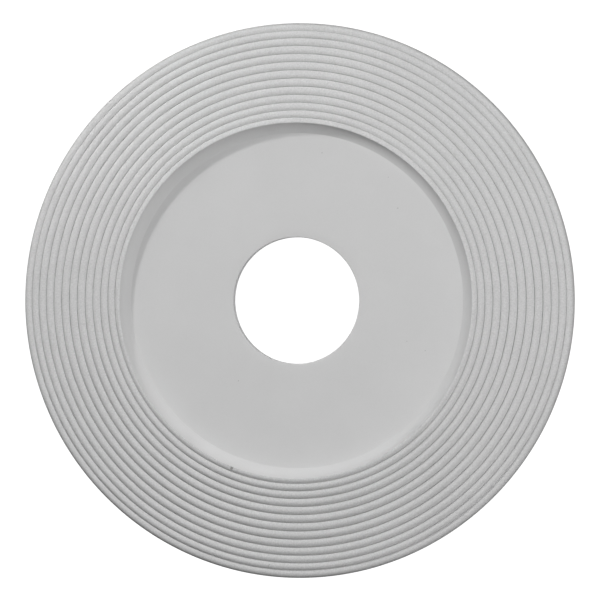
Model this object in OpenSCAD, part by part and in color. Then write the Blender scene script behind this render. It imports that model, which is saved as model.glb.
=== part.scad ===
// Ceiling rose: a round moulding that is fixed to a ceiling around a lamp's wires.
// It is one casting: a flat centre with a round hole, a sloping cove, and a band of
// concentric reeds that falls away to a thin outer edge.
// The origin is the centre of the flat back, which lies against the ceiling.
// +Z points up into the ceiling, so the moulded face looks down.
// The profile is drawn with the radius along X and the height off the ceiling along Y.

/* [Overall size] */
// Outside diameter
outer_d = 408; // [330:1:520]
// Height of the highest ring off the ceiling
projection = 16.5; // [14:0.5:24]

/* [Flat centre] */
// Diameter of the hole for the wires and the ceiling box
bore_d = 93; // [40:1:115]
// Thickness of the flat centre
centre_t = 8; // [5:0.5:10]
// Radius of the softened front edge of the hole
bore_round = 0.6; // [0.2:0.1:1.5]

/* [Cove] */
// Width of the sloping wall between the flat centre and the first ring
cove_w = 7.3; // [5:0.1:12]
// Depth of the hollow of that wall below a straight slope
cove_hollow = 1.2; // [0.3:0.1:1.5]

/* [Reeded band] */
// Number of full reeds
reeds = 11; // [6:1:12]
// Width of the middle reed, which is the widest
reed_mid_w = 6.1; // [4.5:0.1:7]
// How much narrower the first and last reeds are
reed_narrowing = 0.65; // [0:0.05:1]
// Height of a reed's crown above the grooves beside it
reed_rise = 1.6; // [0.6:0.05:1.9]
// How far the band falls from its first groove to its last
band_fall = 9.2; // [6:0.1:10]
// Width of the part reed between the cove and the first groove
inner_ring_w = 3.7; // [2:0.1:4.2]

/* [Outer edge] */
// Width of the ring between the last groove and the outside
edge_ring_w = 5.7; // [4:0.1:8]
// Height of that ring's crown above its chord
edge_rise = 1.8; // [0.8:0.05:1.8]
// Height of the upright outer wall
edge_wall_h = 3; // [1.5:0.1:4.5]

/* [Hidden] */
$fn = 96;
// How far a cut runs past the edge it crosses
over = 2;
// How far the backing stays below the grooves
lap = 1;
// How far the backing's outer corner stays below the top of the outer wall
corner_lap = 0.2;

outer_r = outer_d / 2;
bore_r = bore_d / 2;
last_groove_r = outer_r - edge_ring_w;

// Width of reed i, counted outwards from 0
function reed_w(i) = reed_mid_w - reed_narrowing * pow(2 * i / (reeds - 1) - 1, 2);
// Radius of the groove inside reed i
function groove_r(i) = i >= reeds ? last_groove_r : groove_r(i + 1) - reed_w(i);
// Radius of the circle whose arc rises by rise above a chord
function arc_r(chord, rise) = (chord * chord / 4 + rise * rise) / (2 * rise);

first_groove_r = groove_r(0);
cove_top_r = first_groove_r - inner_ring_w;
cove_foot_r = cove_top_r - cove_w;
band_slope = band_fall / (last_groove_r - first_groove_r);
band_angle = atan(band_slope);

// The part reed is a full one that the cove cuts, and its crown is the highest point
inner_reed_r = arc_r(reed_w(0) / cos(band_angle), reed_rise);
inner_reed_mid_r = first_groove_r - reed_w(0) / 2;
inner_reed_mid_h = projection - inner_reed_r + (inner_reed_r - reed_rise) * cos(band_angle);
// Height of the line through the grooves at radius r
function line_h(r) = inner_reed_mid_h - band_slope * (r - inner_reed_mid_r);

// The circle of the part reed, and its height where the cove cuts it
inner_reed_circle_r = inner_reed_mid_r - (inner_reed_r - reed_rise) * sin(band_angle);
inner_reed_circle_h = projection - inner_reed_r;
cove_top_h = inner_reed_circle_h + sqrt(pow(inner_reed_r, 2) - pow(cove_top_r - inner_reed_circle_r, 2));

// A round through two points of the profile, rising above the line between them
module reed_round(from, to, rise) {
    step = to - from;
    round_r = arc_r(norm(step), rise);
    translate((from + to) / 2)
        rotate(atan2(step[1], step[0]))
            translate([0, rise - round_r])
                circle(r = round_r);
}

// The rounds of the part reed, the full reeds and the outer ring
module reed_rounds() {
    inner_r = first_groove_r - reed_w(0);
    reed_round([inner_r, line_h(inner_r)], [first_groove_r, line_h(first_groove_r)], reed_rise);
    for (i = [0 : reeds - 1]) {
        from_r = groove_r(i);
        to_r = groove_r(i + 1);
        reed_round([from_r, line_h(from_r)], [to_r, line_h(to_r)], reed_rise);
    }
    reed_round([last_groove_r, line_h(last_groove_r)], [outer_r, edge_wall_h], edge_rise);
}

// What backs the rounds: it stays under the grooves
module backing() {
    polygon([
        [bore_r, 0],
        [outer_r, 0],
        [outer_r, edge_wall_h - corner_lap],
        [last_groove_r, line_h(last_groove_r) - lap],
        [cove_top_r, line_h(cove_top_r) - lap],
        [bore_r, line_h(cove_top_r) - lap]
    ]);
}

// The room in front of the flat centre, out to the hollow wall of the cove
module recess() {
    foot = [cove_foot_r, centre_t];
    top = [cove_top_r, cove_top_h];
    step = top - foot;
    hollow_r = arc_r(norm(step), cove_hollow);
    intersection() {
        translate((foot + top) / 2)
            rotate(atan2(step[1], step[0]))
                translate([0, hollow_r - cove_hollow])
                    circle(r = hollow_r);
        translate([0, centre_t])
            square([outer_r, 2 * projection]);
    }
    translate([bore_r - over, centre_t])
        square([cove_foot_r - bore_r, projection]);
}

// The corner that is taken off the front edge of the hole
module bore_edge() {
    translate([bore_r, centre_t - bore_round])
        difference() {
            translate([-over, 0])
                square([over + bore_round, over]);
            translate([bore_round, 0])
                circle(r = bore_round);
        }
}

module profile() {
    difference() {
        intersection() {
            union() {
                backing();
                reed_rounds();
            }
            translate([bore_r, 0])
                square([outer_r - bore_r, projection + over]);
        }
        recess();
        bore_edge();
    }
}

module ceiling_rose() {
    color("gainsboro")
        mirror([0, 0, 1])
            rotate_extrude($fn = 360)
                profile();
}

ceiling_rose();
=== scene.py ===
import math

import bpy
import numpy as np
from mathutils import Matrix, Vector


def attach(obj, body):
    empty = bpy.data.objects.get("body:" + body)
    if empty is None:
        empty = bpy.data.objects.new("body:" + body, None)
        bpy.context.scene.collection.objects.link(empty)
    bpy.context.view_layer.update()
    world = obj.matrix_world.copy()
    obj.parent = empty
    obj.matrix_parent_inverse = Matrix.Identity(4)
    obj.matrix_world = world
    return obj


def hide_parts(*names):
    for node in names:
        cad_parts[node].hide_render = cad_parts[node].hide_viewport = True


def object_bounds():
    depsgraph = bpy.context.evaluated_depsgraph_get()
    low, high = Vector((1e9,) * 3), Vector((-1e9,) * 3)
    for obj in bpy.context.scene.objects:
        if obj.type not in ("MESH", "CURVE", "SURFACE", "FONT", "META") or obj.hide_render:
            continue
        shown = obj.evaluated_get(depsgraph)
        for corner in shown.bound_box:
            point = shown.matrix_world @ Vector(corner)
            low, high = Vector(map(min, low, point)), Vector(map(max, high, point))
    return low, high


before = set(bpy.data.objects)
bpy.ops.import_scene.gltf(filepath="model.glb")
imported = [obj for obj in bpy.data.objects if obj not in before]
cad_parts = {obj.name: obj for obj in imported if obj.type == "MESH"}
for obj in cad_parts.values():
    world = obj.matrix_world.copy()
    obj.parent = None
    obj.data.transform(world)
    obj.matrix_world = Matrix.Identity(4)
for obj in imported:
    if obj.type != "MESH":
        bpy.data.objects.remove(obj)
CAD_LOW, CAD_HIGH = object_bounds()

MM = 0.001
NODE = "ceiling_rose"
SLOT = "primed_casting"

# Sizes of the profile in millimetres, as the CAD has them. Heights are off the ceiling.
OUTER_R = CAD_HIGH.x / MM
PROJECTION = 16.5
BORE_R = 46.5
CENTRE_T = 8.0
BORE_ROUND = 0.6
COVE_W = 7.3
COVE_HOLLOW = 1.2
REEDS = 11
REED_MID_W = 6.1
REED_NARROWING = 0.65
REED_RISE = 1.6
BAND_FALL = 9.2
INNER_RING_W = 3.7
EDGE_RING_W = 5.7
EDGE_RISE = 1.8
EDGE_WALL_H = 3.0

# Mesh density: steps round the rose, and steps across each stretch of the profile
TURN_STEPS = 580
NICK_STEPS = 24
DISC_STEPS = 12
COVE_STEPS = 9
PART_REED_STEPS = 6
REED_STEPS = 9
BORE_EDGE_STEPS = 4
BACK_STEPS = 4
# Edges that turn more than this are shown sharp
SHARP_ANGLE = math.radians(24)

# The nick in the crown of the part reed: where it is, how wide and how deep, in millimetres, and
# how many widths off it the finer turn steps reach
NICK_R = 131.3
NICK_ANGLE = math.radians(110.8)
NICK_ALONG = 1.5
NICK_ACROSS = 0.9
NICK_DEPTH = 0.9
NICK_REACH = 3

# Painted shade: the dark line painted in the bottom of each groove stands for the shade in the crease. How
# far off it reaches, in millimetres, how sharply it fades, how strong it is in the middle of the band, and
# the share of that at both ends
GROOVE_REACH = 0.65
GROOVE_FADE = 3.5
GROOVE_DARK = 0.75
GROOVE_DARK_ENDS = 0.85
GROOVE_SHADE_COLOUR = (0.12, 0.12, 0.115, 1)

# Fainter painted shade along the outer edge of the roll: how far in it reaches, and its share of a groove's
# line
EDGE_REACH = 3.0
EDGE_DARK = 0.85

# Small dark specks painted in the paint as painted shade for small pits, with radius and size in millimetres
# and the angle in degrees.
# Two at one place are darker and paint the shade of the nick, and two side by side make a scratch.
SPECKS = [
    (101, 318, 0.9),
    (113, 307, 0.7),
    (110, 280, 0.8),
    (73, 126, 0.8),
    (87, 20, 0.7),
    (102, 21, 0.7),
    (200, 326, 1.0),
    (201, 338, 1.0),
    (131.8, 110.8, 2.4),
    (131.8, 110.8, 1.8),
    (195.2, 95.9, 0.8),
    (196.2, 96.1, 0.8),
]
SPECK_DARK = 0.5
SPECK_SHADE_COLOUR = (0.3, 0.3, 0.29, 1)

# The finish: colours, scales of noise in features a metre, shares of shade, and depths of bump
# in metres. DISC_GRAIN is the share of the grain on the flat centre.
PAINT_LOW = (0.57, 0.57, 0.57, 1)
PAINT_HIGH = (0.82, 0.82, 0.82, 1)
CLOUD_SCALE = 25
CLOUD_SHADE = 0.2
GRAIN_SCALE = 950
GRAIN_SHADE = 1.1
GRAIN_DEPTH = 0.00015
DISC_GRAIN = 0.1
ROUGHNESS_LOW = 0.62
ROUGHNESS_HIGH = 0.78
SPECULAR = 0.3

# The bare foam of the back, which is every face that looks up by more than BACK_FACING
BACK_FACING = 0.9
FOAM_LOW = (0.62, 0.60, 0.53, 1)
FOAM_HIGH = (0.72, 0.70, 0.64, 1)
FOAM_SCALE = 60
PORE_SCALE = 500
PORE_BELOW = 0.3
PORE_DEPTH = 0.00012

# The grain of the reeds starts this far inside the part reed, in millimetres
BAND_MARGIN = 0.1
# The value that noise varies about
NOISE_MIDDLE = 0.5

# Camera, in metres
CAMERA_DISTANCE = 2.8
CAMERA_TILT = math.radians(8.0)
CAMERA_AIM = Vector((0.0017, -0.0004, 0.0))
FRAME_WIDTH = 0.4417
SENSOR_WIDTH = 36
VIEW_END = 50

# Studio lights: name, azimuth, angle below the ceiling, distance, size and watts
LIGHTS = [
    ("key", 226, 30.4, 1.39, 0.14, 6.8),
    ("low_left", 217, 15, 0.8, 0.3, 0.8),
    ("low_top", 270, 15, 3.0, 1.2, 7.0),
    ("top", 270, 65, 3.0, 1.2, 6.4),
    ("right", 10, 52, 1.2, 0.6, 3.8),
    ("far_right", 350, 52, 3.0, 1.2, 13.8),
    ("low_right", 350, 15, 1.2, 0.9, 1.5),
]

# The light from straight above, the backdrop and the floor
SKY_STRENGTH = 2.2
SKY_PLACE = (0, 0, 3)
SKY_SPREAD = math.radians(90)
BACKDROP = (1.1, 1.1, 1.1, 1)
FLOOR_SIZE = 3.2
FLOOR_HEIGHT = -3.3
FLOOR_PAINT = (0.85, 0.85, 0.85, 1)
FLOOR_ROUGHNESS = 0.9


def reed_width(i):
    """Width of full reed i, counted outwards from 0."""
    return REED_MID_W - REED_NARROWING * (2 * i / (REEDS - 1) - 1) ** 2


def groove_radii():
    """Radii of all grooves from the first to the last."""
    radii = [OUTER_R - EDGE_RING_W]
    for i in reversed(range(REEDS)):
        radii.insert(0, radii[0] - reed_width(i))
    return radii


GROOVES = groove_radii()
BAND_SLOPE = BAND_FALL / (GROOVES[-1] - GROOVES[0])
BAND_ANGLE = math.atan(BAND_SLOPE)


def arc_radius(chord, rise):
    """Radius of the circle whose arc stands rise above a chord."""
    return (chord * chord / 4 + rise * rise) / (2 * rise)


def part_reed_circle():
    """Radius, middle and height of the circle of the part reed, whose crown is the highest point."""
    width = reed_width(0)
    circle = arc_radius(width / math.cos(BAND_ANGLE), REED_RISE)
    middle = GROOVES[0] - width / 2 - (circle - REED_RISE) * math.sin(BAND_ANGLE)
    return circle, middle, PROJECTION - circle


def line_height(r):
    """Height of the line through the grooves at radius r."""
    circle, _, height = part_reed_circle()
    chord_h = height + (circle - REED_RISE) * math.cos(BAND_ANGLE)
    return chord_h - BAND_SLOPE * (r - GROOVES[0] + reed_width(0) / 2)


def crown_height(r):
    """Height of the part reed's round at radius r."""
    circle, middle, height = part_reed_circle()
    return height + math.sqrt(circle ** 2 - (r - middle) ** 2)


def arc_over(a, b, rise, steps):
    """Points after a, up to b, on the arc that stands rise above the line between them."""
    a = np.array(a)
    b = np.array(b)
    chord = np.linalg.norm(b - a)
    along = (b - a) / chord
    up = np.array([-along[1], along[0]])
    circle = math.copysign(arc_radius(chord, abs(rise)), rise)
    centre = (a + b) / 2 + up * (rise - circle)
    half = math.asin(chord / 2 / circle)
    turns = np.linspace(-half, half, steps + 1)[1:]
    return [tuple(centre + circle * (math.sin(t) * along + math.cos(t) * up)) for t in turns]


def profile():
    """The front outline from the hole's back edge, over the face, to the back edge of the rim."""
    cove_top = GROOVES[0] - INNER_RING_W
    cove_foot = cove_top - COVE_W
    edge_h = CENTRE_T - BORE_ROUND
    points = [(BORE_R, 0.0), (BORE_R, edge_h / 2), (BORE_R, edge_h)]
    corner_rise = BORE_ROUND * (1 - math.sqrt(0.5))
    points += arc_over((BORE_R, edge_h), (BORE_R + BORE_ROUND, CENTRE_T), corner_rise, BORE_EDGE_STEPS)
    points += [(r, CENTRE_T) for r in np.linspace(BORE_R + BORE_ROUND, cove_foot, DISC_STEPS + 1)[1:]]
    points += arc_over((cove_foot, CENTRE_T), (cove_top, crown_height(cove_top)), -COVE_HOLLOW, COVE_STEPS)
    crown = np.linspace(cove_top, GROOVES[0], PART_REED_STEPS + 1)[1:]
    points += [(r, crown_height(r)) for r in crown]
    for inner, outer in zip(GROOVES[:-1], GROOVES[1:]):
        points += arc_over((inner, line_height(inner)), (outer, line_height(outer)), REED_RISE, REED_STEPS)
    last = (GROOVES[-1], line_height(GROOVES[-1]))
    points += arc_over(last, (OUTER_R, EDGE_WALL_H), EDGE_RISE, REED_STEPS)
    points += [(OUTER_R, 0.0)]
    return points


def turn_angles():
    """Even steps round the rose, with finer ones across the nick."""
    even = np.linspace(0, 2 * math.pi, TURN_STEPS, endpoint=False)
    reach = NICK_REACH * NICK_ALONG / NICK_R
    fine = np.linspace(NICK_ANGLE - reach, NICK_ANGLE + reach, NICK_STEPS)
    kept = even[np.abs(even - NICK_ANGLE) > reach + math.pi / TURN_STEPS]
    return np.sort(np.concatenate([kept, fine]))


def nick_depth(r, angle):
    """How deep the nick is at a place, in millimetres."""
    across = (r - NICK_R) / NICK_ACROSS
    along = (angle - NICK_ANGLE) * NICK_R / NICK_ALONG
    return NICK_DEPTH * np.exp(-across ** 2 - along ** 2)


def groove_nearness(r, h):
    """How much painted shade a place on the face gets: 1 in the middle grooves, less in the others and at
    the edge.
    """
    off = np.min(np.abs(r[..., None] - np.array(GROOVES)), axis=-1)
    off_middle = (r - GROOVES[0]) / (GROOVES[-1] - GROOVES[0]) * 2 - 1
    share = 1 - (1 - GROOVE_DARK_ENDS) * off_middle ** 2
    grooves = np.clip(1 - off / GROOVE_REACH, 0, 1) * share
    edge = np.clip(1 - (OUTER_R - r) / EDGE_REACH, 0, 1) * EDGE_DARK
    return np.where(h > 0, np.maximum(grooves, edge), 0.0)


def add_attribute(mesh, name, values):
    """Store one number a vertex, for the material."""
    layer = mesh.attributes.new(name, "FLOAT", "POINT")
    layer.data.foreach_set("value", np.asarray(values, dtype=np.float32).ravel())


def turned_mesh(name, outline):
    """A closed body turned about Z from the outline, its back closed flat at height 0."""
    back = [(r, 0.0) for r in np.linspace(OUTER_R, BORE_R, BACK_STEPS + 1)[1:-1]]
    loop = np.array(outline + back)
    turns = turn_angles()
    r, angle = np.meshgrid(loop[:, 0], turns)
    h = np.tile(loop[:, 1], (len(turns), 1))
    h = h - np.where(h > CENTRE_T, nick_depth(r, angle), 0.0)
    co = np.stack([r * np.cos(angle), r * np.sin(angle), -h], axis=-1) * MM
    index = np.arange(r.size).reshape(r.shape)
    after = np.roll(index, -1, axis=1)
    corners = [index, after, np.roll(after, -1, axis=0), np.roll(index, -1, axis=0)]
    faces = np.stack(corners, axis=-1).reshape(-1, 4)
    mesh = bpy.data.meshes.new(name)
    mesh.from_pydata(co.reshape(-1, 3).tolist(), [], faces.tolist())
    mesh.update()
    mesh.shade_smooth()
    mesh.set_sharp_from_angle(angle=SHARP_ANGLE)
    # How much painted shade the grooves and the outer edge get, stored for the material
    add_attribute(mesh, "groove", groove_nearness(r, h))
    add_attribute(mesh, "reeded", (r > GROOVES[0] - INNER_RING_W - BAND_MARGIN) & (h > 0))
    piece = bpy.data.objects.new(name, mesh)
    bpy.context.scene.collection.objects.link(piece)
    return piece


class Nodes:
    """Short calls for building a material's node tree."""

    def __init__(self, material):
        material.use_nodes = True
        self.tree = material.node_tree
        self.shader = self.tree.nodes["Principled BSDF"]

    def put(self, socket, value):
        if isinstance(value, bpy.types.NodeSocket):
            self.tree.links.new(value, socket)
        else:
            socket.default_value = value

    def maths(self, operation, a, b=0.0):
        node = self.tree.nodes.new("ShaderNodeMath")
        node.operation = operation
        self.put(node.inputs[0], a)
        self.put(node.inputs[1], b)
        return node.outputs[0]

    def vector(self, operation, a, b):
        node = self.tree.nodes.new("ShaderNodeVectorMath")
        node.operation = operation
        self.put(node.inputs[0], a)
        self.put(node.inputs[1], b)
        return node

    def noise(self, place, scale, detail):
        """Noise of about 0 to 1, with features of about 1/scale metres."""
        node = self.tree.nodes.new("ShaderNodeTexNoise")
        self.put(node.inputs["Vector"], place)
        node.inputs["Scale"].default_value = scale
        node.inputs["Detail"].default_value = detail
        return node.outputs[0]

    def attribute(self, name):
        node = self.tree.nodes.new("ShaderNodeAttribute")
        node.attribute_name = name
        return node.outputs["Fac"]

    def mix(self, share, a, b):
        """Colour a where share is 0 and colour b where it is 1."""
        node = self.tree.nodes.new("ShaderNodeMix")
        node.data_type = "RGBA"
        self.put(node.inputs[0], share)
        self.put(node.inputs[6], a)
        self.put(node.inputs[7], b)
        return node.outputs[2]

    def between(self, share, low, high):
        """A number that goes from low to high as share goes from 0 to 1."""
        return self.maths("ADD", self.maths("MULTIPLY", share, high - low), low)

    def bump(self, height, depth, below=None):
        """A normal raised by up to depth metres of height."""
        node = self.tree.nodes.new("ShaderNodeBump")
        node.inputs["Distance"].default_value = depth
        self.put(node.inputs["Height"], height)
        if below is not None:
            self.put(node.inputs["Normal"], below)
        return node.outputs[0]


def speck_share(nodes, flat_place, specks):
    """1 inside any of the specks, which are given as radius, angle and size."""
    total = 0.0
    for radius, angle, size in specks:
        turn = math.radians(angle)
        middle = (radius * math.cos(turn) * MM, radius * math.sin(turn) * MM, 0)
        off = nodes.vector("DISTANCE", flat_place, middle).outputs["Value"]
        total = nodes.maths("ADD", nodes.maths("LESS_THAN", off, size * MM / 2), total)
    return total


def casting_material():
    """Matt white primer over a fine cast grain, with painted shade in the grooves, along the outer edge and
    in small dark specks; bare cream foam on the back.
    """
    material = bpy.data.materials.new(SLOT)
    nodes = Nodes(material)
    coords = nodes.tree.nodes.new("ShaderNodeTexCoord")
    place = coords.outputs["Object"]
    flat_place = nodes.vector("MULTIPLY", place, (1, 1, 0)).outputs[0]
    facing = nodes.tree.nodes.new("ShaderNodeSeparateXYZ")
    nodes.put(facing.inputs[0], coords.outputs["Normal"])
    on_back = nodes.maths("GREATER_THAN", facing.outputs["Z"], BACK_FACING)

    clouds = nodes.noise(place, CLOUD_SCALE, 3)
    grain = nodes.noise(place, GRAIN_SCALE, 2)
    reeded = nodes.maths("ADD", nodes.attribute("reeded"), on_back)
    rough = nodes.between(reeded, DISC_GRAIN, 1.0)
    cloudy = nodes.maths("MULTIPLY", nodes.maths("SUBTRACT", clouds, NOISE_MIDDLE), CLOUD_SHADE)
    grainy = nodes.maths("MULTIPLY", nodes.maths("SUBTRACT", grain, NOISE_MIDDLE), GRAIN_SHADE)
    shade = nodes.maths("ADD", cloudy, nodes.maths("MULTIPLY", grainy, rough))
    paint = nodes.mix(nodes.maths("ADD", shade, NOISE_MIDDLE), PAINT_LOW, PAINT_HIGH)
    # Painted shade: the paint is darkened in the grooves and along the outer edge
    line = nodes.maths("POWER", nodes.attribute("groove"), GROOVE_FADE)
    paint = nodes.mix(nodes.maths("MULTIPLY", line, GROOVE_DARK), paint, GROOVE_SHADE_COLOUR)
    # Painted shade: dark specks for the pits, the scratch and the nick
    specks = speck_share(nodes, flat_place, SPECKS)
    paint = nodes.mix(nodes.maths("MULTIPLY", specks, SPECK_DARK), paint, SPECK_SHADE_COLOUR)
    foam = nodes.mix(nodes.noise(place, FOAM_SCALE, 5), FOAM_LOW, FOAM_HIGH)
    nodes.put(nodes.shader.inputs["Base Color"], nodes.mix(on_back, paint, foam))
    nodes.put(nodes.shader.inputs["Roughness"], nodes.between(grain, ROUGHNESS_LOW, ROUGHNESS_HIGH))
    nodes.shader.inputs["Specular IOR Level"].default_value = SPECULAR

    grain_normal = nodes.bump(nodes.maths("MULTIPLY", grain, rough), GRAIN_DEPTH)
    pores = nodes.maths("LESS_THAN", nodes.noise(place, PORE_SCALE, 0), PORE_BELOW)
    back_height = nodes.maths("MULTIPLY", nodes.maths("MULTIPLY", pores, -1.0), on_back)
    nodes.put(nodes.shader.inputs["Normal"], nodes.bump(back_height, PORE_DEPTH, grain_normal))
    return material


def aimed_camera():
    """The camera below the rose, looking up a little from the right."""
    back = Vector((math.sin(CAMERA_TILT), 0, -math.cos(CAMERA_TILT)))
    up = Vector((0, -1, 0))
    right = up.cross(back)
    data = bpy.data.cameras.new("camera")
    data.sensor_width = SENSOR_WIDTH
    data.lens = SENSOR_WIDTH * CAMERA_DISTANCE / FRAME_WIDTH
    data.clip_end = VIEW_END
    camera = bpy.data.objects.new("camera", data)
    turn = Matrix((right, up, back)).transposed().to_4x4()
    camera.matrix_world = Matrix.Translation(CAMERA_AIM + back * CAMERA_DISTANCE) @ turn
    bpy.context.scene.collection.objects.link(camera)
    bpy.context.scene.camera = camera


def white_surroundings():
    """A backdrop that is white to look at and sends no light."""
    world = bpy.data.worlds.new("surroundings")
    world.use_nodes = True
    nodes = world.node_tree.nodes
    seen = nodes.new("ShaderNodeLightPath").outputs["Is Camera Ray"]
    world.node_tree.links.new(seen, nodes["Background"].inputs["Strength"])
    nodes["Background"].inputs["Color"].default_value = BACKDROP
    bpy.context.scene.world = world


def aim(light, place):
    """Put a light at a place and point it at the rose."""
    light.location = place
    light.rotation_mode = "QUATERNION"
    light.rotation_quaternion = (-Vector(place)).to_track_quat("-Z", "Y")
    bpy.context.scene.collection.objects.link(light)


def soft_light(name, azimuth, below, distance, size, watts):
    """A square soft light, at an azimuth and an angle below the ceiling in degrees."""
    turn = math.radians(azimuth)
    drop = math.radians(below)
    data = bpy.data.lights.new(name, "AREA")
    data.size = size
    data.energy = watts
    place = Vector((math.cos(turn) * math.cos(drop), math.sin(turn) * math.cos(drop), -math.sin(drop)))
    aim(bpy.data.objects.new(name, data), place * distance)


def sky_light():
    """A broad light from straight above, for the back, the rim and the floor."""
    data = bpy.data.lights.new("sky", "SUN")
    data.energy = SKY_STRENGTH
    data.angle = SKY_SPREAD
    aim(bpy.data.objects.new("sky", data), SKY_PLACE)


def pale_floor():
    """The floor of the room, well below the camera."""
    half = FLOOR_SIZE / 2
    corners = [(x, y, FLOOR_HEIGHT) for x, y in ((-half, -half), (half, -half), (half, half), (-half, half))]
    mesh = bpy.data.meshes.new("floor")
    mesh.from_pydata(corners, [], [(0, 1, 2, 3)])
    material = bpy.data.materials.new("floor_paint")
    material.use_nodes = True
    shader = material.node_tree.nodes["Principled BSDF"]
    shader.inputs["Base Color"].default_value = FLOOR_PAINT
    shader.inputs["Roughness"].default_value = FLOOR_ROUGHNESS
    mesh.materials.append(material)
    floor = bpy.data.objects.new("floor", mesh)
    bpy.context.scene.collection.objects.link(floor)


rose = turned_mesh("rose_casting", profile())
rose.data.materials.append(casting_material())
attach(rose, "root")
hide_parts(NODE)

aimed_camera()
white_surroundings()
for light in LIGHTS:
    soft_light(*light)
sky_light()
pale_floor()

# Exposure is set by the lights, so colours are shown as they come
bpy.context.scene.view_settings.view_transform = "Standard"
